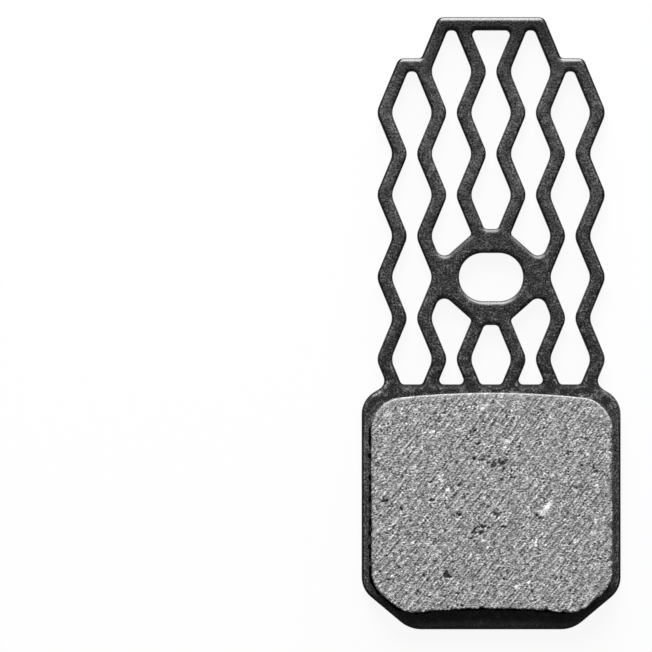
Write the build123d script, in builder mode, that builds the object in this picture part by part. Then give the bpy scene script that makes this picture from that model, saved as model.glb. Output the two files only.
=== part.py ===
from build123d import *
from math import atan2, floor, hypot, pi, tan
import os

# A finned disc brake pad for a bicycle, lying on its back with the friction face up, in millimetres.
# The origin is on the back face, where the piston pushes. +Y runs up the cooling fin and +Z to the rotor.

# Plate
plate_width = 24.0
plate_below = 11.15  # from the piston centre down to the bottom edge
plate_above = 11.55  # from the piston centre up to the foot of the fin
plate_thickness = 2.0
shoulder_drop = 1.44  # fall of the upper corners, from the fin's foot to the plate's sides
cut_across = 4.44  # lower corners, measured along the bottom edge
cut_up = 3.72  # lower corners, measured along the side
side_radius = 2.4  # rounding of the four corners on the plate's sides
bottom_radius = 3.0  # rounding of the two corners on the bottom edge
rolled_edge = 0.48  # soft edge that blanking leaves round the back face
broken_edge = 0.45  # tumbled edge round the front face

# Cooling fin: zigzag struts between the plate and three rails
struts_each_side = 3
strut_width = 1.38  # measured across the fin
neck_gap = 0.71  # between two struts where their bends point at each other, before rounding
wave_swing = 0.79  # from the middle of a strut's path out to its bends
half_wave = 3.81  # height from one bend to the next
first_bend = 2.33  # height of the lowest bend above the plate
bend_radius = 1.58
foot_radius = 0.9  # hollow between the fin's outer struts and the plate's shoulders
fin_waves = 3  # whole waves of the outer struts below the side rails
rail_width = 1.24
rail_corner = 0.75
rail_hollow = 0.35  # hollow corner where a side rail meets the strut that goes on up
window_corner = 0.42

# Boss with the slot for the retaining pin
slot_wave = 1  # whole waves of the inner struts below the slot's middle
slot_height = 4.46
slot_travel = 1.49  # between the centres of the slot's round ends
bridge_wall = 2.23  # metal above and below the slot
brow_wall = 1.75  # height of the boss's slanted sides over the slot, at the inner struts
boss_foot = 1.47  # height of the boss's slanted sides from the slot's middle, at the next struts
pocket_radius = 0.8
brow_radius = 0.35

# Friction block: a slab on the plate, held by four keys moulded into the plate's holes
block_thickness = 2.0
block_margin = 0.86  # plate left bare along the sides and the cut corners
rim_margin = 0.76  # plate left bare between the fin's foot and the top of the block
rotor_radius = 80.0  # the block's top edge follows the rim of the rotor
track_height = 19.9  # width of the rotor's braking track
block_corner_radius = 3.0
block_edge = 0.2  # edge break round the friction face
key_radius = 3.28
key_clearance = 0.02
key_spacing_x = 11.5
key_spacing_y = 10.35
key_recess = 0.45  # depth of the keys' rims below the back face
key_dish = 0.25  # further depth of the keys' hollow ends
dish_rim = 0.9  # width of the curved rim round each hollow end
hole_rolled_edge = 0.3

# Limits on roundings
edge_share = 0.4  # most of a bar's width, or of a thickness, that one rounded edge takes
run_share = 0.92  # most of a straight side that the roundings at its two ends take together

# Sizes worked out from the ones above
fin_foot = plate_above
strut_pitch = strut_width + 2 * wave_swing + neck_gap
hole_radius = key_radius + key_clearance
shoulder_bend = 2 * fin_waves + struts_each_side % 2  # where the outer struts lean in to the side rails
top_bend = shoulder_bend + 1  # where the next struts lean in to the top rail
slot_bend = 2 * slot_wave  # where the inner struts lean apart
slot_y = fin_foot + first_bend + slot_bend * half_wave
slot_reach = slot_height / 2
widest_edge = edge_share * min(strut_width, rail_width, bridge_wall, plate_thickness)
rotor_axis_y = plate_above - rim_margin - rotor_radius
track_radius = rotor_radius - track_height


def bend_y(level):
    return fin_foot + first_bend + level * half_wave


def strut_x(strut, level):
    # Struts are counted from the left. Each bend turns a strut back, and neighbours lean opposite ways.
    from_middle = struts_each_side - 1 - strut
    lean = 1 if (from_middle + level) % 2 else -1
    return lean * wave_swing - (from_middle + 0.5) * strut_pitch


def edge_point(strut, side, y):
    # A point on the left (-1) or right (+1) edge of a strut, at any height.
    level = floor((y - bend_y(0)) / half_wave)
    share = (y - bend_y(level)) / half_wave
    middle = strut_x(strut, level) * (1 - share) + strut_x(strut, level + 1) * share
    return (middle + side * strut_width / 2, y)


def edge_bends(strut, side, low, high):
    # The bends on one edge of a strut between two heights, from the lower to the higher.
    levels = [level for level in range(top_bend + 1) if low < bend_y(level) < high]
    return [edge_point(strut, side, bend_y(level)) for level in levels]


def fitted_radii(points, radii):
    # Corner roundings, made smaller where two neighbours would not fit on the side between them.
    count = len(points)
    reach = []
    for i in range(count):
        (ax, ay), (bx, by), (cx, cy) = points[i - 1], points[i], points[(i + 1) % count]
        turn = atan2(cy - by, cx - bx) - atan2(by - ay, bx - ax)
        turn = abs((turn + pi) % (2 * pi) - pi)
        reach.append(radii[i] * tan(turn / 2))
    factors = [1.0] * count
    for i in range(count):
        j = (i + 1) % count
        side = hypot(points[j][0] - points[i][0], points[j][1] - points[i][1])
        share = min(1.0, run_share * side / (reach[i] + reach[j]))
        factors[i] = min(factors[i], share)
        factors[j] = min(factors[j], share)
    return [radius * factor for radius, factor in zip(radii, factors)]


def rounded_outline(corners):
    # Closed outline through (point, rounding) pairs.
    points = [point for point, rounding in corners]
    radii = [rounding for point, rounding in corners]
    return FilletPolyline(*points, radius=fitted_radii(points, radii), close=True)


def mirrored(corners):
    return [((-x, y), rounding) for (x, y), rounding in reversed(corners)]


def window(strut, lows, highs, low_roundings, high_roundings):
    # Corners of the opening between a strut and the next one, given the heights of its four ends.
    left = [(bend, bend_radius) for bend in edge_bends(strut, 1, lows[0], highs[0])]
    right = [(bend, bend_radius) for bend in edge_bends(strut + 1, -1, lows[1], highs[1])]
    left_low = (edge_point(strut, 1, lows[0]), low_roundings[0])
    left_high = (edge_point(strut, 1, highs[0]), high_roundings[0])
    right_low = (edge_point(strut + 1, -1, lows[1]), low_roundings[1])
    right_high = (edge_point(strut + 1, -1, highs[1]), high_roundings[1])
    return [left_low, *left, left_high, right_high, *reversed(right), right_low]


# Left half of the outline, from the bottom edge round to the top rail
side_rail = bend_y(shoulder_bend)
top_rail = bend_y(top_bend)
rail_lean = rail_width * 2 * wave_swing / half_wave
side_rail_end = (edge_point(0, -1, side_rail)[0] + rail_lean, side_rail + rail_width)
top_rail_end = (edge_point(1, -1, top_rail)[0] + rail_lean, top_rail + rail_width)
left_outline = [
    ((cut_across - plate_width / 2, -plate_below), bottom_radius),
    ((-plate_width / 2, cut_up - plate_below), side_radius),
    ((-plate_width / 2, plate_above - shoulder_drop), side_radius),
    (edge_point(0, -1, fin_foot), foot_radius),
    *[(bend, bend_radius) for bend in edge_bends(0, -1, fin_foot, side_rail)],
    (side_rail_end, rail_corner),
    (edge_point(1, -1, side_rail + rail_width), rail_hollow),
    *[(bend, bend_radius) for bend in edge_bends(1, -1, side_rail + rail_width, top_rail)],
    (top_rail_end, rail_corner),
]

# Windows left of the middle line: the ones next to the middle pair stop at the boss
plain = (window_corner, window_corner)
boss_corners = (pocket_radius, brow_radius)
brow_reach = slot_reach + brow_wall
left_windows = []
for strut in range(struts_each_side - 1):
    top = side_rail if strut == 0 else top_rail
    if strut < struts_each_side - 2:
        left_windows.append(window(strut, (fin_foot, fin_foot), (top, top), plain, plain))
    else:
        boss_under = (slot_y - boss_foot, slot_y - brow_reach)
        boss_over = (slot_y + boss_foot, slot_y + brow_reach)
        left_windows.append(window(strut, (fin_foot, fin_foot), boss_under, plain, boss_corners))
        left_windows.append(window(strut, boss_over, (top, top), boss_corners, plain))

# Windows on the middle line, below and above the slot
inner_strut = struts_each_side - 1
bridge_under = slot_y - slot_reach - bridge_wall
bridge_over = slot_y + slot_reach + bridge_wall
middle_windows = [
    window(inner_strut, (fin_foot, fin_foot), (bridge_under, bridge_under), plain, plain),
    window(inner_strut, (bridge_over, bridge_over), (top_rail, top_rail), plain, plain),
]

# Plate and fin, blanked from one sheet
with BuildPart() as backing_plate:
    with BuildSketch():
        with BuildLine():
            rounded_outline(left_outline + mirrored(left_outline))
        make_face()
        right_windows = [mirrored(opening) for opening in left_windows]
        for opening in left_windows + middle_windows + right_windows:
            with BuildLine():
                rounded_outline(opening)
            make_face(mode=Mode.SUBTRACT)
        with Locations((0, slot_y)):
            SlotCenterToCenter(slot_travel, slot_height, mode=Mode.SUBTRACT)
    extrude(amount=plate_thickness)
    fillet(backing_plate.edges().group_by(Axis.Z)[0], radius=min(rolled_edge, widest_edge))
    fillet(backing_plate.edges().group_by(Axis.Z)[-1], radius=min(broken_edge, widest_edge))
    with BuildSketch():
        with GridLocations(key_spacing_x, key_spacing_y, 2, 2):
            Circle(hole_radius)
    extrude(amount=plate_thickness, mode=Mode.SUBTRACT)
    hole_rims = backing_plate.edges().filter_by(GeomType.CIRCLE).group_by(Axis.Z)[0]
    fillet(hole_rims.filter_by(lambda rim: rim.is_closed), radius=hole_rolled_edge)

# One key with its hollow end, turned about its own axis
with BuildPart() as key:
    with BuildSketch(Plane.XZ):
        with BuildLine():
            floor_edge = Line((0, key_recess + key_dish), (key_radius - dish_rim, key_recess + key_dish))
            meniscus = TangentArc(floor_edge @ 1, (key_radius, key_recess), tangent=floor_edge % 1)
            Polyline(meniscus @ 1, (key_radius, plate_thickness), (0, plate_thickness), floor_edge @ 0)
        make_face()
    revolve(axis=Axis.Z)

# Friction compound, moulded onto the plate
with BuildPart() as friction_block:
    with BuildSketch(Plane.XY.offset(plate_thickness)):
        with BuildLine():
            plate_sides = [
                (cut_across - plate_width / 2, -plate_below),
                (-plate_width / 2, cut_up - plate_below),
                (-plate_width / 2, plate_above + block_margin),
            ]
            Polyline(*plate_sides, *[(-x, y) for x, y in reversed(plate_sides)], close=True)
        make_face()
        offset(amount=-block_margin, kind=Kind.INTERSECTION, mode=Mode.REPLACE)
        with Locations((0, rotor_axis_y)):
            Circle(rotor_radius, mode=Mode.INTERSECT)
            Circle(track_radius, mode=Mode.SUBTRACT)
        # Drawn in by the corner radius and let out again, which rounds every corner
        offset(amount=-block_corner_radius, kind=Kind.INTERSECTION, mode=Mode.REPLACE)
        offset(amount=block_corner_radius, kind=Kind.ARC, mode=Mode.REPLACE)
    extrude(amount=block_thickness)
    fillet(friction_block.faces().sort_by(Axis.Z)[-1].edges(), radius=block_edge)
    with GridLocations(key_spacing_x, key_spacing_y, 2, 2):
        add(key.part)

os.makedirs("parts", exist_ok=True)
backing_plate.part.label = "backing_plate"
friction_block.part.label = "friction_block"
export_step(backing_plate.part, "parts/backing_plate.step")
export_step(friction_block.part, "parts/friction_block.step")
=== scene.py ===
import math

import bpy
import numpy as np
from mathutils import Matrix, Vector


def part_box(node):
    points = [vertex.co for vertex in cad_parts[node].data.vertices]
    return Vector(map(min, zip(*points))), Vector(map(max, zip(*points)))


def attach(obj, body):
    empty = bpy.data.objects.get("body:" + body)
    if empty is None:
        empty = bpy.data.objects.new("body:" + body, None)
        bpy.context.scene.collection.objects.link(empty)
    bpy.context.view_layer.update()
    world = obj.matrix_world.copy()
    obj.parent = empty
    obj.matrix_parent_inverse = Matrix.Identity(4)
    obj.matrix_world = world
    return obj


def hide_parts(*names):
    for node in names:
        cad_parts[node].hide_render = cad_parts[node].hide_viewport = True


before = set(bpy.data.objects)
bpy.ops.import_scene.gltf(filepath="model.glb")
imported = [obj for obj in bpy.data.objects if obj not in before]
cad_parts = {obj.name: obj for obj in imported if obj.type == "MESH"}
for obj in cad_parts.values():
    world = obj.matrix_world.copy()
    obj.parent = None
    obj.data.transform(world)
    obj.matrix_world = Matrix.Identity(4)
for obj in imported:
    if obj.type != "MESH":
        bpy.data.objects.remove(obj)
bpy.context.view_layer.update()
mm = 0.001
nothing = 1e-9  # guards against points that coincide
noiseMean = 0.5  # of every noise, which runs from 0 to 1
print("frame loaded:", sorted(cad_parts))


# Shader maths: a socket of a material's tree, where arithmetic adds Math nodes
class Wire:
    def __init__(self, tree, socket=None):
        self.tree = tree
        self.socket = socket

    # Adds a node: its settings first, then the values or links of its sockets, and gives one output
    def node(self, kind, settings=None, inputs=None, output=0):
        made = self.tree.nodes.new(kind)
        for name, value in (settings or {}).items():
            setattr(made, name, value)
        for name, value in (inputs or {}).items():
            if isinstance(value, Wire):
                self.tree.links.new(value.socket, made.inputs[name])
            else:
                made.inputs[name].default_value = value
        return Wire(self.tree, made.outputs[output] if made.outputs else None)

    def math(self, operation, first, second=0.0):
        return self.node("ShaderNodeMath", {"operation": operation}, {0: first, 1: second})

    def __add__(self, other):
        return self.math("ADD", self, other)

    def __sub__(self, other):
        return self.math("SUBTRACT", self, other)

    def __rsub__(self, other):
        return self.math("SUBTRACT", other, self)

    def __mul__(self, other):
        return self.math("MULTIPLY", self, other)

    __radd__ = __add__
    __rmul__ = __mul__

    # One coordinate of a vector
    def part(self, axis):
        return self.node("ShaderNodeSeparateXYZ", None, {"Vector": self}, axis)

    # Smooth step: 0 below one value, 1 above the other, 3t^2 - 2t^3 between them
    def step(self, low, high):
        inputs = {"Value": self, "From Min": low, "From Max": high}
        return self.node("ShaderNodeMapRange", {"interpolation_type": "SMOOTHSTEP"}, inputs)

    # A curve through stops of place and value: the smooth steps from each stop to the next, added up
    def curve(self, stops):
        total = stops[0][1]
        for (low, start), (high, end) in zip(stops, stops[1:]):
            total = total + self.step(low, high) * (end - start)
        return total

    # Noise that is about 0.5 on average, with grains of the given size in metres
    def noise(self, grain, detail=2.0, roughness=0.5):
        inputs = {"Vector": self, "Scale": 1 / grain, "Detail": detail, "Roughness": roughness}
        return self.node("ShaderNodeTexNoise", None, inputs, "Fac")

    # Normal of a surface raised by this value times a depth in metres
    def bump(self, depth, strength=1.0):
        inputs = {"Height": self, "Distance": depth, "Strength": strength}
        return self.node("ShaderNodeBump", None, inputs)


# A new material with an empty tree, and the wire that adds nodes to it
def newMaterial(name):
    material = bpy.data.materials.new(name)
    material.use_nodes = True
    material.node_tree.nodes.clear()
    return material, Wire(material.node_tree)


# Puts a shader on the material's output
def showShader(tree, shader):
    tree.node("ShaderNodeOutputMaterial", None, {"Surface": shader})


# Place of a point in the object
def objectPlace(tree):
    return tree.node("ShaderNodeTexCoord", None, None, "Object")


# Direction of the surface in the object
def objectNormal(tree):
    return tree.node("ShaderNodeTexCoord", None, None, "Normal")


# A value that is stored with the mesh
def meshValue(tree, name):
    return tree.node("ShaderNodeAttribute", {"attribute_name": name}, None, "Fac")


# A place turned about the vertical, and divided by a size along each axis
def turnedPlace(tree, place, angle, size):
    inputs = {"Vector": place, "Rotation": (0, 0, angle), "Scale": size}
    return tree.node("ShaderNodeMapping", {"vector_type": "TEXTURE"}, inputs)


# A neutral colour
def greyColour(value):
    return (value, value, value, 1)


noiseNames = ["drawn", "grain", "fineGrain", "pore", "finePore", "chipsAndHighlight", "fineChip", "rag", "fineRag",
              "wall", "footShade", "key", "fineKey"]


# Smooth random heights from 0 to 1: values on a square lattice, blended by 3t^2 - 2t^3 between them
def latticeNoise(x, y, cell, name, size=256):
    values = np.random.default_rng(noiseNames.index(name)).random((size, size))
    column = np.floor(x / cell).astype(int)
    row = np.floor(y / cell).astype(int)
    s = x / cell - column
    t = y / cell - row
    s = s * s * (3 - 2 * s)
    t = t * t * (3 - 2 * t)
    left = column % size
    right = (column + 1) % size
    low = values[left, row % size] * (1 - s) + values[right, row % size] * s
    high = values[left, (row + 1) % size] * (1 - s) + values[right, (row + 1) % size] * s
    return low * (1 - t) + high * t


# Points of a circle arc: centre + radius * (cos, sin) of evenly spaced angles
def arcPoints(centre, radius, start, end, count=60):
    angle = np.linspace(start, end, count)
    return np.column_stack([centre[0] + radius * np.cos(angle), centre[1] + radius * np.sin(angle)])


# A closed outline, clockwise from its top: place and outward normal as functions of the length along it
class Outline:
    def __init__(self, points, corners):
        step = np.roll(points, -1, 0) - points
        length = np.hypot(step[:, 0], step[:, 1])
        kept = length > nothing
        self.points = points[kept]
        self.along = np.concatenate([[0], np.cumsum(length[kept])])
        self.total = self.along[-1]
        tangent = np.roll(self.points, -1, 0) - np.roll(self.points, 1, 0)
        self.normals = np.column_stack([-tangent[:, 1], tangent[:, 0]])
        self.normals /= np.hypot(self.normals[:, 0], self.normals[:, 1])[:, None]
        self.corners = [corner * self.total for corner in corners]  # upper right and lower right

    # Straight blend between the values of the outline's points
    def sample(self, values, s):
        ring = np.concatenate([values, values[:1]])
        s = s % self.total
        return np.stack([np.interp(s, self.along, ring[:, 0]), np.interp(s, self.along, ring[:, 1])], -1)

    def place(self, s):
        return self.sample(self.points, s)

    def normal(self, s):
        return self.sample(self.normals, s)


# Square grid laid over an outline: ring m = max(|a|, |b|) of the square goes to the outline scaled by m
def ringGrid(outline, steps):
    a, b = np.meshgrid(np.linspace(-1, 1, steps + 1), np.linspace(-1, 1, steps + 1), indexing="ij")
    m = np.maximum(np.abs(a), np.abs(b))
    share = 1 / np.maximum(m, nothing)
    upper, lower = outline.corners
    total = outline.total
    top = -upper + (a * share + 1) * upper
    right = upper + (1 - b * share) / 2 * (lower - upper)
    bottom = lower + (1 - a * share) / 2 * (total - 2 * lower)
    left = total - lower + (b * share + 1) / 2 * (lower - upper)
    s = np.where(np.abs(b) >= np.abs(a), np.where(b >= 0, top, bottom), np.where(a >= 0, right, left))
    return m, s


# Vertex numbers round the edge of such a grid, clockwise from its upper left corner
def rimNumbers(steps):
    number = np.arange((steps + 1) ** 2).reshape(steps + 1, steps + 1)
    return np.concatenate([number[:-1, -1], number[-1, :0:-1], number[:0:-1, 0], number[0, :-1]])


# Faces of a closed shell: the grid, bands of quads from ring to ring, and one face that closes it
def shellFaces(steps, rings):
    number = np.arange((steps + 1) ** 2).reshape(steps + 1, steps + 1)
    corners = [number[:-1, :-1], number[1:, :-1], number[1:, 1:], number[:-1, 1:]]
    grid = np.stack(corners, -1).reshape(-1, 4)
    first = (steps + 1) ** 2
    around = 4 * steps
    loops = [rimNumbers(steps)] + [first + k * around + np.arange(around) for k in range(rings)]
    bands = []
    for upper, lower in zip(loops[:-1], loops[1:]):
        bands.append(np.stack([upper, np.roll(upper, -1), np.roll(lower, -1), lower], -1))
    return np.concatenate([grid, *bands]), loops[-1]


# Friction compound: the ground face with its marks, grains and pores, the moulded walls and the keys
compound = {
    "rotorRadius": 80 * mm,
    "trackRadius": 60.1 * mm,
    "cornerRadius": 3 * mm,
    "cutAcross": 4.44 * mm,
    "cutUp": 3.72 * mm,
    "gridCorners": (0.145, 0.355),  # right corners of the grid, as shares of the outline
    "upperBreak": 0.14 * mm,  # roundness of the face's edge, at the top and elsewhere
    "lowerBreak": 0.04 * mm,
    "rollWidth": 0.36 * mm,  # the top edge is worn down
    "rollDepth": 0.035 * mm,
    # painted highlight on the block's top edge, stored with the chips
    "edgeHighlight": 0.15,
    "calmWidth": 0.6 * mm,  # the face is smoother along its rim
    "calmSides": 0.35,  # less so where the rim doesn't look up
    "calmDepth": 0.5,
    "faceSteps": 248,
    "edgeRings": 5,
    "wallRings": 12,
    "grindAngle": math.radians(51.65),  # the marks are arcs round a far centre, up to the left
    "grindRadius": 160.8 * mm,
    "grindPitch": 0.619 * mm,
    "grindCuts": [(1, 0.62, -0.14), (2, 0.38, 1.29)],  # waves in one pitch, share of the depth, phase
    "grindDepth": 0.012 * mm,
    "grainSize": 0.26 * mm,
    "grainMix": (0.2, 0.4, 0.4),  # shares of the drawn out, the coarse and the fine grain
    "drawnRatio": 4,
    "grainRatio": 2,
    "grainDepth": 0.1 * mm,
    "poreSize": 0.27 * mm,
    "poreMix": (0.65, 0.35),  # shares of the coarse and the fine pores
    "poreRatio": 2.2,
    "poreDepth": 0.2 * mm,
    "poreShare": (0.78, 0.9),  # from here the noise is a pore, and from there it is at full depth
    "pitFlatness": 1.7,
    "pits": [  # place and radius in mm, and lift of the noise, where the pores crowd
        (0.75, 4.35, 1.0, 0.31), (-1.0, -2.0, 1.1, 0.37), (-4.0, -6.1, 0.55, 0.3),
        (0.9, -1.65, 0.45, 0.31), (0.6, -0.45, 0.45, 0.31), (3.35, 1.8, 0.35, 0.5),
        (4.5, -0.8, 0.55, 0.28), (-3.1, -0.45, 0.4, 0.31), (-1.35, 6.1, 0.28, 0.6),
        (9.5, 3.4, 0.65, 0.25), (6.9, 5.2, 0.55, 0.25), (-0.5, 5.4, 0.25, 0.55),
        (-1.65, 4.7, 0.25, 0.4), (-0.8, 4.55, 0.25, 0.45), (1.0, 2.7, 0.25, 0.55),
        (-5.65, 2.6, 0.25, 0.4), (-3.0, 2.2, 0.3, 0.45), (-5.6, 0.85, 0.25, 0.45),
        (-8.25, 0.0, 0.3, 0.4), (3.6, -5.7, 0.3, 0.31), (-0.95, -6.5, 0.3, 0.31),
        (-9.8, 0.8, 0.45, 0.3),
    ],
    "chipSize": 0.32 * mm,
    "chipMix": (0.6, 0.4),
    "chipRatio": 2,
    "chipShare": (0.79, 0.91),
    "flakeTaper": 1.1,
    "flakeLight": 0.8,
    "flakeTop": 1.2,
    "flakes": [  # place, length, width and angle of bright scratches, in mm and degrees
        (5.1, 0.15, 1.9, 0.34, 52), (-0.65, 9.5, 0.9, 0.22, 30), (1.25, 6.4, 0.8, 0.16, 165),
        (-5.5, 7.2, 0.6, 0.15, 25), (-9.5, 8.8, 0.8, 0.2, 12), (-4.0, 1.8, 0.5, 0.18, 130),
        (4.1, -3.0, 0.9, 0.18, 80), (-4.7, 2.7, 0.5, 0.15, 150),
    ],
    "ragSize": 0.4 * mm,
    "ragRatio": 3,
    "ragDepth": 0.24 * mm,
    "fineRagShare": 0.9,
    "ragMean": 0.3,
    "ragCalm": 0.9,  # how much straighter the edge is where it looks up
    "ragDrop": 0.3,  # its chips run on down the wall, long and narrow
    "footRag": 0.5,
    "leftBack": 0.06 * mm,  # the left wall stands a little further in
    "wallGrain": 0.22 * mm,
    "wallDepth": 0.03 * mm,
    "groundFall": 16,  # how fast the ground look ends below the edge, as a power
    # Painted shade round the block's foot: a thin dark sheet, none at the top and fainter on the right
    "footShadeWidth": 0.2 * mm,
    "footShadeHeight": 0.04 * mm,
    "footShadeFade": 0.6,  # it is fainter on the right
    "footShadeLip": 0.5,  # its least width, as a share
    "footShadeLeast": 0.75,  # its strength where it is thinnest
    "footShadeGaps": (0.15, 0.55),
    "footShadeRings": [(0.9, 0.0), (0.5, 0.6), (0.0, 1.0)],  # shares of its height and width
    "keyRadius": 3.28 * mm,
    "keySpacing": (11.5 * mm, 10.35 * mm),
    "keyPoints": 360,
    "keyCorners": (0.125, 0.375),
    "keyDish": 0.25 * mm,
    "keyDishRim": 0.9 * mm,
    "keySteps": 44,
    "keyWallRings": 6,
    "keyGrain": 0.42 * mm,
    "keyRatio": 2.5,
    "fineKeyShare": 0.5,
    "keyGrainMean": 0.4,
    "keyGrainDepth": 0.16 * mm,
    "keyRimCalm": (0.8, 6),  # how much smoother the rim is, and the power by which that fades inward
}

plateLow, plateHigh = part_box("backing_plate")
blockLow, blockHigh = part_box("friction_block")
grindCentre = (-compound["grindRadius"] * math.sin(compound["grindAngle"]),
               compound["grindRadius"] * math.cos(compound["grindAngle"]), blockHigh.z)


# Outline of the block: rotor arc, side, cut corner and hollow track arc, each corner an arc of its own
def blockOutline():
    radius = compound["cornerRadius"]
    side = blockHigh.x
    margin = plateHigh.x - side
    axisY = blockHigh.y - compound["rotorRadius"]
    across, up = compound["cutAcross"], compound["cutUp"]
    normal = np.array([up, -across]) / math.hypot(up, across)
    along = np.array([across, up]) / math.hypot(up, across)
    reach = normal @ np.array([plateHigh.x - across, plateLow.y]) - margin - radius
    topCorner = np.array([side - radius, axisY])
    topCorner[1] += math.sqrt((compound["rotorRadius"] - radius) ** 2 - topCorner[0] ** 2)
    sideCorner = np.array([side - radius, (reach - normal[0] * (side - radius)) / normal[1]])
    foot = reach - normal[1] * axisY
    chord = math.sqrt((compound["trackRadius"] + radius) ** 2 - foot ** 2)
    lowCorner = np.array([0, axisY]) + normal * foot + along * chord
    topAngle = math.atan2(topCorner[1] - axisY, topCorner[0])
    cutAngle = math.atan2(normal[1], normal[0])
    trackAngle = math.atan2(lowCorner[1] - axisY, lowCorner[0])
    half = np.concatenate([
        arcPoints((0, axisY), compound["rotorRadius"], math.pi / 2, topAngle),
        arcPoints(topCorner, radius, topAngle, 0),
        arcPoints(sideCorner, radius, 0, cutAngle),
        arcPoints(lowCorner, radius, cutAngle, trackAngle - math.pi),
        arcPoints((0, axisY), compound["trackRadius"], trackAngle, math.pi / 2),
    ])
    mirrored = half[-2:0:-1] * np.array([-1, 1])
    return Outline(np.concatenate([half, mirrored]), compound["gridCorners"])


# Smooth step: 0 below one value, 1 above the other, 3t^2 - 2t^3 between them
def smoothStep(value, low, high):
    t = np.clip((value - low) / (high - low), 0, 1)
    return t * t * (3 - 2 * t)


# Two coordinates along and across a direction, from a place
def turned(x, y, angle, fromX=0.0, fromY=0.0):
    along = (x - fromX) * math.cos(angle) + (y - fromY) * math.sin(angle)
    across = (y - fromY) * math.cos(angle) - (x - fromX) * math.sin(angle)
    return along, across


# Grinding marks from -1 to 1: waves of the distance to the far centre, one and two to a pitch
def grindMarks(x, y):
    reach = np.hypot(x - grindCentre[0], y - grindCentre[1])
    turn = (compound["grindRadius"] - reach) * (2 * math.pi / compound["grindPitch"])
    return sum(share * np.sin(cuts * turn + phase) for cuts, share, phase in compound["grindCuts"])


# Pores from 0 to 1: where a noise of two grains is high, and more of them in the pits
def poreField(x, y):
    size = compound["poreSize"]
    coarse, fine = compound["poreMix"]
    field = (coarse * latticeNoise(x, y, size, "pore")
             + fine * latticeNoise(x, y, size / compound["poreRatio"], "finePore"))
    for pitX, pitY, radius, lift in compound["pits"]:
        apart = (x - pitX * mm) ** 2 + (compound["pitFlatness"] * (y - pitY * mm)) ** 2
        field = field + lift * np.exp(-apart / (radius * mm) ** 2)
    return smoothStep(field, *compound["poreShare"])


# Bright chips from 0 to 1: where another noise is high, and along a few flakes that narrow to one end
def chipField(x, y):
    size = compound["chipSize"]
    coarse, fine = compound["chipMix"]
    noise = (coarse * latticeNoise(x, y, size, "chipsAndHighlight")
             + fine * latticeNoise(x, y, size / compound["chipRatio"], "fineChip"))
    field = smoothStep(noise, *compound["chipShare"])
    for flakeX, flakeY, length, width, angle in compound["flakes"]:
        along, across = turned(x, y, math.radians(angle), flakeX * mm, flakeY * mm)
        end = along / (length * mm)
        reach = width * mm * (compound["flakeTaper"] - end)
        line = np.exp(-(2 * end) ** 4 - (2 * across / reach) ** 2) * (compound["flakeLight"] + noise)
        field = np.maximum(field, np.minimum(line, compound["flakeTop"]))
    return field


# Depth of the ground face below its highest points: grinding marks, grains and pores
def faceDepth(x, y, pores):
    along, across = turned(x, y, compound["grindAngle"])
    size = compound["grainSize"]
    drawn, coarse, fine = compound["grainMix"]
    grain = (drawn * latticeNoise(along / compound["drawnRatio"], across, size, "drawn")
             + coarse * latticeNoise(x, y, size, "grain")
             + fine * latticeNoise(x, y, size / compound["grainRatio"], "fineGrain"))
    furrow = compound["grindDepth"] * (1 + grindMarks(x, y)) / 2
    return furrow + compound["grainDepth"] * grain + compound["poreDepth"] * pores


# Ragged edge: how far the rim is broken back from its mean line, by two noises cubed, least at the top
def raggedEdge(s, depth, outline):
    size = compound["ragSize"]
    coarse = latticeNoise(s, depth, size, "rag") ** 3
    fine = latticeNoise(s, depth, size / compound["ragRatio"], "fineRag") ** 3
    chips = coarse + compound["fineRagShare"] * fine - compound["ragMean"]
    calm = 1 - compound["ragCalm"] * np.clip(outline.normal(s)[..., 1], 0, 1)
    return compound["ragDepth"] * chips * calm


# How far the wall stands in from the outline: only on the left
def leftInset(normal):
    return compound["leftBack"] * np.clip(-normal[..., 0], 0, 1)


# Roundness of the face's edge: one value at the top and another elsewhere
def edgeBreak(upward):
    return compound["lowerBreak"] + (compound["upperBreak"] - compound["lowerBreak"]) * upward


# Ground face: the ring grid up to the broken edge, at its depth below the top, worn down at the upper edge
def groundFace(outline, m, s):
    normal = outline.normal(s)
    upward = np.clip(normal[..., 1], 0, 1)
    back = edgeBreak(upward) + raggedEdge(s, 0 * s, outline) + leftInset(normal)
    rim = outline.place(s) - normal * back[..., None]
    x, y = np.moveaxis(rim * m[..., None], -1, 0)
    inside = (1 - m) * (rim * normal).sum(-1)
    worn = np.clip(1 - inside / compound["rollWidth"], 0, 1) * upward
    calmRim = compound["calmSides"] + (1 - compound["calmSides"]) * upward
    calm = np.clip(1 - inside / compound["calmWidth"], 0, 1) * calmRim
    pores = poreField(x, y) * (1 - calm)
    depth = faceDepth(x, y, pores) * (1 - compound["calmDepth"] * calm)
    z = blockHigh.z - depth - compound["rollDepth"] * worn
    values = {"ground": np.ones(m.size), "pore": pores.reshape(-1), "chipsAndHighlight": chipField(x, y).reshape(-1),
              "calm": calm.reshape(-1)}
    return np.stack([x, y, z], -1).reshape(-1, 3), values
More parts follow.
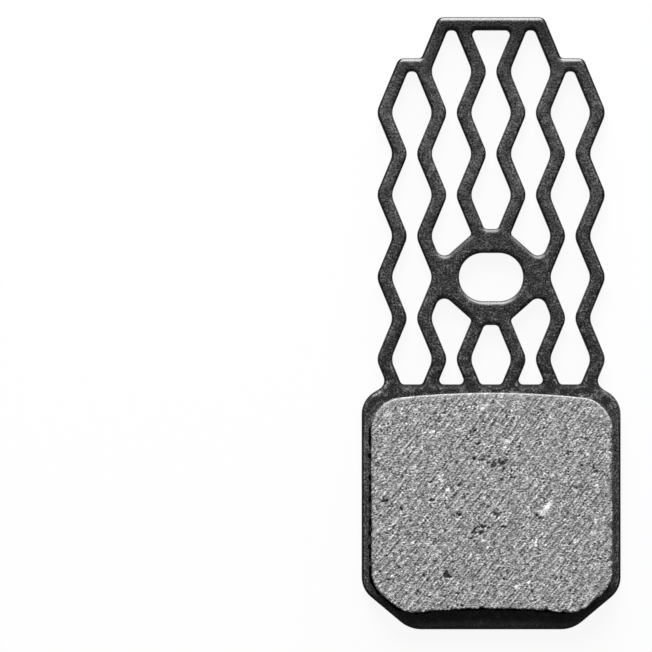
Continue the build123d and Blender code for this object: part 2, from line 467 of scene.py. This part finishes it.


# Slab: the ground face, then rings round the edge break, down the wall and out over a thin dark sheet of
# painted shade
def slabShell():
    outline = blockOutline()
    steps = compound["faceSteps"]
    m, s = ringGrid(outline, steps)
    face, values = groundFace(outline, m, s)
    around = s.reshape(-1)[rimNumbers(steps)]
    rimDepth = blockHigh.z - face[rimNumbers(steps), 2]
    normal = outline.normal(around)
    upward = np.clip(normal[:, 1], 0, 1)
    edge = edgeBreak(upward)
    height = blockHigh.z - plateHigh.z
    wallFoot = height - compound["footShadeHeight"]
    turn = np.linspace(0, math.pi / 2, compound["edgeRings"] + 1)[1:]
    down = np.linspace(0, 1, compound["wallRings"] + 1)[1:]
    rings = [(edge * (1 - math.cos(t)), edge * (1 - math.sin(t)), 1) for t in turn]
    rings += [(edge + (wallFoot - edge) * k, 0 * edge, 0) for k in down]
    layers = [face]
    for drop, inset, onEdge in rings:
        fade = 1 - drop / height
        rough = compound["wallDepth"] * latticeNoise(around, drop, compound["wallGrain"], "wall")
        ragged = raggedEdge(around, compound["ragDrop"] * drop, outline)
        ragged = ragged * (compound["footRag"] + (1 - compound["footRag"]) * fade)
        back = inset + rough + ragged + leftInset(normal)
        place = outline.place(around) - normal * back[:, None]
        layers.append(np.column_stack([place, blockHigh.z - drop - rimDepth * fade]))
        # the edge break's rings carry a painted highlight where they look up
        ringValues = {"ground": fade ** compound["groundFall"], "pore": 0 * edge,
                      "chipsAndHighlight": compound["edgeHighlight"] * upward * onEdge, "calm": 1 + 0 * edge}
        values = {key: np.append(value, ringValues[key]) for key, value in values.items()}
    # a dark sheet of painted shade out from the wall's foot: none where the edge looks up, fainter on the
    # right
    values["footShade"] = np.zeros(len(values["chipsAndHighlight"]))
    lip = latticeNoise(around, 0 * around, compound["ragSize"], "footShade")
    spread = compound["footShadeWidth"] * (compound["footShadeLip"] + lip) * (1 - upward)
    strength = (1 - compound["footShadeFade"] * np.clip(normal[:, 0], 0, 1)) * (1 - upward) ** 2
    least = compound["footShadeLeast"]
    strength = strength * (least + (1 - least) * smoothStep(lip, *compound["footShadeGaps"]))
    for rise, share in compound["footShadeRings"]:
        out = spread * share - back * (1 - share)
        place = outline.place(around) + normal * out[:, None]
        z = np.full_like(around, plateHigh.z + rise * compound["footShadeHeight"])
        layers.append(np.column_stack([place, z]))
        values = {key: np.append(value, strength * (key == "footShade")) for key, value in values.items()}
    faces, cap = shellFaces(steps, len(layers) - 1)
    return np.concatenate(layers), faces, cap, values


# Key: a disc with a hollow rough end that looks down, and a wall up to the slab
def keyShell(centre):
    radius = compound["keyRadius"]
    circle = arcPoints((0, 0), radius, math.pi / 2, -1.5 * math.pi, compound["keyPoints"] + 1)[:-1]
    outline = Outline(circle, compound["keyCorners"])
    steps = compound["keySteps"]
    m, s = ringGrid(outline, steps)
    disc = outline.place(s) * m[..., None]
    x, y = disc[..., 0] + centre[0], disc[..., 1] + centre[1]
    rise = np.clip((m * radius - radius + compound["keyDishRim"]) / compound["keyDishRim"], 0, 1)
    dish = compound["keyDish"] * (1 - rise ** 2)
    size = compound["keyGrain"]
    fine = latticeNoise(x, y, size / compound["keyRatio"], "fineKey")
    clump = latticeNoise(x, y, size, "key") + compound["fineKeyShare"] * fine - compound["keyGrainMean"]
    rimCalm, power = compound["keyRimCalm"]
    rough = compound["keyGrainDepth"] * clump * (1 - rimCalm * m ** power)
    z = blockLow.z + dish + rough
    layers = [np.stack([x, y, z], -1).reshape(-1, 3)]
    around = rimNumbers(steps)
    rimX, rimY, rimZ = x.reshape(-1)[around], y.reshape(-1)[around], z.reshape(-1)[around]
    for share in np.linspace(0, 1, compound["keyWallRings"] + 1)[1:]:
        layers.append(np.column_stack([rimX, rimY, rimZ + (plateHigh.z - rimZ) * share]))
    vertices = np.concatenate(layers)
    faces, cap = shellFaces(steps, compound["keyWallRings"])
    none = np.zeros(len(vertices))
    values = {"ground": none, "pore": none, "chipsAndHighlight": none, "calm": none, "footShade": none}
    return vertices, faces[:, ::-1], cap[::-1], values


# One mesh from several closed shells, with their values as attributes
def meshFromShells(name, shells):
    vertices = np.concatenate([shell[0] for shell in shells])
    faces = []
    first = 0
    for points, quads, cap, values in shells:
        faces += (quads + first).tolist()
        faces.append((cap + first).tolist())
        first += len(points)
    mesh = bpy.data.meshes.new(name)
    mesh.from_pydata(vertices.tolist(), [], faces)
    for key in shells[0][3]:
        values = np.concatenate([shell[3][key] for shell in shells])
        mesh.attributes.new(key, "FLOAT", "POINT").data.foreach_set("value", values.astype(np.float32))
    mesh.polygons.foreach_set("use_smooth", np.ones(len(mesh.polygons), bool))
    mesh.update()
    piece = bpy.data.objects.new(name, mesh)
    bpy.context.scene.collection.objects.link(piece)
    return piece


# Friction material: grey compound with light and dark grains, and the grinding marks on the ground face
compoundFinish = {
    "groundGrey": 0.3,
    "mouldedGrey": 0.15,
    "footShadeGrey": 0.003,
    "grain": 0.152 * mm,
    "grainAngle": math.radians(15),  # the grains lie flat, a little turned
    "grainStretch": 1.33,
    "blot": 0.5 * mm,
    "varySize": 1.3 * mm,  # the grain is stronger in some places
    "varyContrast": 1.8,
    "streakLength": 1.2 * mm,
    "streakWidth": 0.135 * mm,
    "markPatch": 0.8 * mm,  # the marks are stronger in some places
    "grainContrast": 2.5,
    "streakContrast": 0.85,
    "markContrast": 0.12,
    "blotContrast": 1.15,
    "calmShare": 0.5,
    "chipGrey": 0.6,
    "poreShade": 0.85,
    "darkest": 0.3,
    "rough": 0.82,
    "streakShine": 0.15,
    "shine": 0.35,
    "streakBump": 0.6,
    "bumpDepth": 0.13 * mm,
    "bumpStrength": 0.8,
}


# Grinding marks as painted light and shade: the slopes of the same waves that the face's geometry has
def markShade(tree, place):
    inputs = {0: place, 1: grindCentre}
    reach = tree.node("ShaderNodeVectorMath", {"operation": "DISTANCE"}, inputs, "Value")
    turn = (compound["grindRadius"] - reach) * (2 * math.pi / compound["grindPitch"])
    return sum(tree.math("COSINE", turn * cuts + phase) * (share * cuts)
               for cuts, share, phase in compound["grindCuts"])


# Compound: its grey times specks, blots, streaks and marks with painted shade, darker in the pores,
# lighter on the chips and on a painted highlight along the top edge, and a dark sheet of painted shade at
# the foot
def compoundMaterial():
    material, tree = newMaterial("frictionCompound")
    finish = compoundFinish
    place = objectPlace(tree)
    ground = meshValue(tree, "ground")
    pore = meshValue(tree, "pore")
    chipsAndHighlight = meshValue(tree, "chipsAndHighlight")
    footShade = meshValue(tree, "footShade")
    calm = 1 - meshValue(tree, "calm") * ground * finish["calmShare"]
    grainSize = (finish["grainStretch"], 1, 1)
    speck = turnedPlace(tree, place, finish["grainAngle"], grainSize).noise(finish["grain"])
    blot = place.noise(finish["blot"])
    streakSize = (finish["streakLength"], finish["streakWidth"], finish["streakLength"])
    streak = turnedPlace(tree, place, compound["grindAngle"], streakSize).noise(1.0, detail=1.0)
    patch = place.noise(finish["markPatch"], detail=1.0) + noiseMean
    # the grinding marks' painted light and shade, stronger in patches
    drawn = ((streak - noiseMean) * finish["streakContrast"]
             + markShade(tree, place) * patch * finish["markContrast"])
    vary = (place.noise(finish["varySize"], detail=1.0) - noiseMean) * finish["varyContrast"] + 1
    grain = ((speck - noiseMean) * vary * finish["grainContrast"]
             + (blot - noiseMean) * finish["blotContrast"] + drawn * ground)
    grey = finish["mouldedGrey"] + (finish["groundGrey"] - finish["mouldedGrey"]) * ground
    shade = tree.math("MAXIMUM", grain * calm + 1, finish["darkest"])
    # lighter on the chips and, along the top edge, a painted highlight
    colour = grey * shade * shade * (1 - pore * finish["poreShade"]) + chipsAndHighlight * finish["chipGrey"]
    raised = speck + streak * ground * finish["streakBump"]
    stone = tree.node("ShaderNodeBsdfPrincipled", None, {
        "Base Color": colour, "Roughness": finish["rough"] - streak * finish["streakShine"],
        "Specular IOR Level": finish["shine"],
        "Normal": raised.bump(finish["bumpDepth"], finish["bumpStrength"])})
    # dark sheet of painted shade round the block's foot
    paintedFootShade = tree.node("ShaderNodeBsdfDiffuse", None, {"Color": greyColour(finish["footShadeGrey"])})
    showShader(tree, tree.node("ShaderNodeMixShader", None, {0: footShade, 1: stone, 2: paintedFootShade}))
    return material


# Plate coat: black, grainy in front, smoother on the back, with a dull finish and painted shade on the
# walls and dark outlines, glossy on the rubbed edges.
# A tilt is a range of the normal's height, a lean one of its part along the plate or across it
plateCoat = {
    "frontTilt": (0.0, 0.3),
    "frontGrey": 0.0265,
    "fade": [  # of the front's grey, from the plate's lower edge to the top of the fin: painted shadow of the compound on the strip below it, then darker at the fin's foot and top and lighter in its middle
        (-11 * mm, 0.4), (-8.5 * mm, 0.55), (-6.5 * mm, 1.05), (7 * mm, 1.1), (10 * mm, 0.38),
        (12.5 * mm, 0.25), (14 * mm, 0.48), (18 * mm, 0.58), (25 * mm, 0.65), (28.5 * mm, 1.1),
        (31 * mm, 1.27), (38.5 * mm, 1.27), (42 * mm, 0.7), (44.5 * mm, 0.2),
    ],
    "darkest": 0.2,
    "backGrey": 0.016,
    # The dull finish's near-black base is painted shade on the walls, outer edges and corners, and edges
    # that look away from the light
    "wallShadeGrey": 0.005,
    "wallTilt": (0.3, 0.71),  # where the wall ends and the face begins
    "outerTilt": (0.74, 0.92),  # and along the outer edges
    "outLean": (0.05, 0.3),
    "levelLean": (0.1, 0.35),
    "outerFrom": (7 * mm, 7.6 * mm),
    "narrowFrom": (40.5 * mm, 41.5 * mm),  # above the side rails the fin is narrower
    "narrowBy": 3.8 * mm,
    "lowerFrom": (9.5 * mm, 10 * mm),
    "shoulderFrom": (9.6 * mm, 10.4 * mm),
    "cornerLean": (0.2, 0.45),  # the outer corners have a dark line too
    "cornerTilt": (0.6, 0.82),
    "cornerWiden": [(39 * mm, 0.0), (41 * mm, 0.1)],
    "underLean": (0.08, 0.25),  # and so have the edges that look away from the light
    "underTilt": (0.6, 0.9),
    # less of the painted shade and dull finish between these heights
    "wallFade": [(11.5 * mm, 1.0), (13 * mm, 0.7), (18 * mm, 0.7), (21 * mm, 1.0)],
    # the right shoulder has less of the painted shade
    "softShoulder": [(7.5 * mm, 0.0), (9 * mm, 0.75), (12.5 * mm, 0.75), (13.5 * mm, 0.0)],
    "dullLean": (0.1, 0.45),  # the windows' lower edges, beside the compound, are darker and dull
    "dullShare": 0.95,
    "dullVary": 2.2,
    "wallShare": 0.35,  # how much of the dull finish and painted shade the upright walls have
    "leanTilt": (0.05, 0.25),
    "rimTilt": (0.75, 0.88),  # painted sheen: the rounded edges that don't look down the plate are a little lighter than the face
    "rimEnd": (0.93, 0.995),
    "rimSheen": 0.024,
    "frontRough": 0.48,
    "roughShift": [(7 * mm, 0.12), (11 * mm, -0.03), (15 * mm, 0.0), (41 * mm, 0.0), (44.5 * mm, -0.11)],
    "backRough": 0.36,
    "wallRough": 0.6,
    "wallShine": 0.1,
    "shine": 0.5,
    "edgeGloss": 0.3,
    "wornShare": 0.88,  # how much smoother the rubbed edges are
    "edgeIndex": 1.8,
    "rubbedFrom": (11.9 * mm, 15.5 * mm),  # the upper edges are dull beside the compound
    "rubbedLean": (0.25, 0.45),
    "rubbedTilt": (-0.2, 0.1),
    "glossTilt": (0.96, 0.999),
    "gloss": [(20.5 * mm, 0.8), (22.5 * mm, 0.45), (30 * mm, 0.45), (42 * mm, 0.92)],
    "grain": 0.165 * mm,
    "grainFine": 0.6,
    "grainRise": [
        (8 * mm, 0.9), (11 * mm, 1.6), (14 * mm, 0.95), (22 * mm, 1.05), (28 * mm, 0.58), (45 * mm, 0.52),
    ],
    "blotRise": [(8.5 * mm, 1.0), (10.5 * mm, 5.5), (12.5 * mm, 3.6), (15 * mm, 1.7), (28 * mm, 0.9)],
    "blot": 0.6 * mm,
    "grainDepth": 0.04 * mm,
    "backBump": 0.1,
    "backMottle": 0.2,
    "grainContrast": 8.5,
    "blotContrast": 2.6,
    "roughContrast": 1.0,
}


# Dull finish and painted shade from 0 to 1, as dark lines: the walls, the outer edges and corners, and
# edges that look down the plate
def shadedDullEdges(tree, place, normal, front, rubbed):
    coat = plateCoat
    across = place.part("X")
    height = place.part("Y")
    normalY = normal.part("Y")
    normalZ = normal.part("Z")
    narrowing = height.step(*coat["narrowFrom"]) * coat["narrowBy"]
    side = (tree.math("ABSOLUTE", across) + narrowing).step(*coat["outerFrom"])
    outward = normal.part("X") * tree.math("SIGN", across)
    sideOut = side * outward.step(*coat["outLean"]) * (1 - normalY.step(*coat["levelLean"]))
    lowOut = (0 - height).step(*coat["lowerFrom"]) * (0 - normalY).step(*coat["outLean"])
    outer = tree.math("MAXIMUM", sideOut, lowOut) * (1 - normalZ.step(*coat["outerTilt"]))
    flatter = normalZ - height.curve(coat["cornerWiden"])
    corner = side * outward.step(*coat["cornerLean"]) * (1 - flatter.step(*coat["cornerTilt"]))
    under = (0 - normalY).step(*coat["underLean"]) * (1 - normalZ.step(*coat["underTilt"]))
    upright = 1 - normalZ.step(*coat["wallTilt"]) - (0 - normalZ).step(*coat["wallTilt"])
    dullAndShade = tree.math("MAXIMUM", tree.math("MAXIMUM", upright, outer) * (1 - rubbed), corner)
    dullAndShade = tree.math("MAXIMUM", dullAndShade, under * front)
    leaning = tree.math("ABSOLUTE", normalZ).step(*coat["leanTilt"])
    dullAndShade = dullAndShade * (coat["wallShare"] + leaning * (1 - coat["wallShare"]))
    soft = across.step(*coat["shoulderFrom"]) * height.curve(coat["softShoulder"])
    return dullAndShade * height.curve(coat["wallFade"]) * (1 - soft)


# Dull sills: the windows' lower edges beside the compound, darker and duller, as uneven as the coat
def dullSills(tree, place, normal, upper, uneven):
    coat = plateCoat
    shoulder = tree.math("ABSOLUTE", place.part("X")).step(*coat["shoulderFrom"])
    sill = normal.part("Y").step(*coat["dullLean"]) * (1 - upper) * (1 - shoulder)
    return sill * (uneven * coat["dullVary"] + coat["dullShare"])


# Coat: the faces' grey, mottled, with painted shadow below the compound, lighter and darker bands up the
# plate and a painted sheen on the rounded edges, a gloss on rubbed edges, and the dull finish with painted
# shade
def coatMaterial():
    material, tree = newMaterial("blackCoat")
    coat = plateCoat
    place = objectPlace(tree)
    height = place.part("Y")
    normal = objectNormal(tree)
    normalY = normal.part("Y")
    normalZ = normal.part("Z")
    front = normalZ.step(*coat["frontTilt"])
    upper = height.step(*coat["rubbedFrom"])
    rubbed = normalY.step(*coat["rubbedLean"]) * normalZ.step(*coat["rubbedTilt"]) * upper
    worn = 1 - rubbed * coat["wornShare"]
    grain = (place.noise(coat["grain"], roughness=coat["grainFine"]) - noiseMean) * worn
    blot = (place.noise(coat["blot"]) - noiseMean) * worn
    edges = shadedDullEdges(tree, place, normal, front, rubbed)
    dullAndShade = tree.math("MAXIMUM", edges, dullSills(tree, place, normal, upper, blot + grain))
    gloss = rubbed * (1 - normalZ.step(*coat["glossTilt"])) * height.curve(coat["gloss"])
    mottle = (grain * height.curve(coat["grainRise"]) * coat["grainContrast"]
              + blot * height.curve(coat["blotRise"]) * coat["blotContrast"])
    mottle = mottle * (front * (1 - coat["backMottle"]) + coat["backMottle"])
    shade = tree.math("MAXIMUM", mottle + 1, coat["darkest"])
    # painted sheen on the rounded edges, none where they look away from the light
    lit = normalZ.step(*coat["rimTilt"]) * (1 - normalZ.step(*coat["rimEnd"]))
    lit = lit * (1 - rubbed) * (1 - (0 - normalY).step(*coat["levelLean"]))
    # the front's grey: painted shadow below the compound, bands up the fin, and a painted sheen on the
    # rounded edges
    frontGrey = height.curve(coat["fade"]) * coat["frontGrey"] * shade + lit * coat["rimSheen"]
    backGrey = shade * coat["backGrey"]
    grey = backGrey + (frontGrey - backGrey) * front
    rough = coat["backRough"] + (coat["frontRough"] - coat["backRough"]) * front
    rough = rough + (grain * coat["roughContrast"] + height.curve(coat["roughShift"])) * front
    bumps = (grain * (front * (1 - coat["backBump"]) + coat["backBump"])).bump(coat["grainDepth"])
    faces = tree.node("ShaderNodeBsdfPrincipled", None, {
        "Base Color": grey * shade, "Roughness": rough, "Specular IOR Level": coat["shine"],
        "Coat Weight": gloss, "Coat Roughness": coat["edgeGloss"], "Coat IOR": coat["edgeIndex"],
        "Normal": bumps})
    # dull finish with near-black painted shade
    dullShaded = tree.node("ShaderNodeBsdfPrincipled", None, {
        "Base Color": shade * coat["wallShadeGrey"], "Roughness": coat["wallRough"],
        "Specular IOR Level": coat["wallShine"], "Normal": bumps})
    showShader(tree, tree.node("ShaderNodeMixShader", None, {0: dullAndShade, 1: faces, 2: dullShaded}))
    return material


# Studio: a white floor that keeps a soft shadow, a dim dome and two softboxes
studio = {
    "floorSize": 8.0,
    "floorGrey": 0.9,
    "floorGlow": 0.92,  # how much of the floor's look, for the camera and reflections, is plain white
    "domeLight": 0.15,
    "aim": (0.0, 0.017, 0.0),
    "panels": {
        "lowPanel": {"place": (0.02, 0.5, 0.11), "size": (0.74, 0.2), "power": 5.0},
        "highPanel": {"place": (-0.06, 0.42, 0.46), "size": (0.3, 0.3), "power": 3.1},
    },
}


# Floor: white paint, mixed with plain white where the camera or a reflection looks
def floorMaterial():
    material, tree = newMaterial("whiteFloor")
    camera = tree.node("ShaderNodeLightPath", None, None, "Is Camera Ray")
    glossy = tree.node("ShaderNodeLightPath", None, None, "Is Glossy Ray")
    through = tree.node("ShaderNodeLightPath", None, None, "Is Transmission Ray")
    seen = (camera + glossy + through) * studio["floorGlow"]
    paint = tree.node("ShaderNodeBsdfDiffuse", None, {"Color": greyColour(studio["floorGrey"])})
    glow = tree.node("ShaderNodeEmission", None, {"Color": greyColour(1), "Strength": 1.0})
    showShader(tree, tree.node("ShaderNodeMixShader", None, {0: seen, 1: paint, 2: glow}))
    return material


# A square sheet under the pad
def makeFloor():
    half = studio["floorSize"] / 2
    mesh = bpy.data.meshes.new("floor")
    corners = [(-half, -half, 0), (half, -half, 0), (half, half, 0), (-half, half, 0)]
    mesh.from_pydata(corners, [], [(0, 1, 2, 3)])
    mesh.materials.append(floorMaterial())
    floor = bpy.data.objects.new("floor", mesh)
    bpy.context.scene.collection.objects.link(floor)


# A softbox that looks at the pad
def makePanel(name, place, size, power):
    data = bpy.data.lights.new(name, "AREA")
    data.shape = "RECTANGLE"
    data.size, data.size_y = size
    data.energy = power
    panel = bpy.data.objects.new(name, data)
    panel.location = place
    back = panel.location - Vector(studio["aim"])
    panel.rotation_euler = back.to_track_quat("Z", "Y").to_euler()
    panel.visible_camera = False
    bpy.context.scene.collection.objects.link(panel)


# An even dim light from all round
def makeWorld():
    world = bpy.data.worlds.new("studio")
    world.use_nodes = True
    background = world.node_tree.nodes["Background"]
    background.inputs["Color"].default_value = greyColour(1)
    background.inputs["Strength"].default_value = studio["domeLight"]
    bpy.context.scene.world = world


# Camera straight above: a long lens, so that the frame is nearly the same at every height
view = {
    "height": 1.0,
    "reach": 10.0,
    "photoWidth": 652,  # pixels
    "pixelSize": 0.09272 * mm,
    "originPixel": (491.05, 508.95),  # where the frame's origin lies in the photo
    "sensor": 36.0,
}


# The lens that fits the photo's width at the middle of the plate
def makeCamera():
    data = bpy.data.cameras.new("camera")
    data.sensor_width = view["sensor"]
    frameWidth = view["photoWidth"] * view["pixelSize"]
    data.lens = view["sensor"] * (view["height"] - plateHigh.z / 2) / frameWidth
    data.clip_end = view["reach"]
    camera = bpy.data.objects.new("camera", data)
    middle = view["photoWidth"] / 2
    right = (middle - view["originPixel"][0]) * view["pixelSize"]
    up = (view["originPixel"][1] - middle) * view["pixelSize"]
    camera.location = (right, up, view["height"])
    bpy.context.scene.collection.objects.link(camera)
    bpy.context.scene.camera = camera


spanX, spanY = compound["keySpacing"]
keyCentres = [(i * spanX / 2, j * spanY / 2) for i in (-1, 1) for j in (-1, 1)]
block = meshFromShells("frictionBlock", [slabShell(), *[keyShell(centre) for centre in keyCentres]])
block.data.materials.append(compoundMaterial())
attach(block, "root")
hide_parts("friction_block")
print("friction block:", len(block.data.vertices), "vertices")

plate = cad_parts["backing_plate"]
plate.data.materials.clear()
plate.data.materials.append(coatMaterial())
print("plate coated")

makeFloor()
makeWorld()
for panelName, panel in studio["panels"].items():
    makePanel(panelName, panel["place"], panel["size"], panel["power"])
makeCamera()
bpy.context.scene.view_settings.view_transform = "Standard"
print("studio ready")
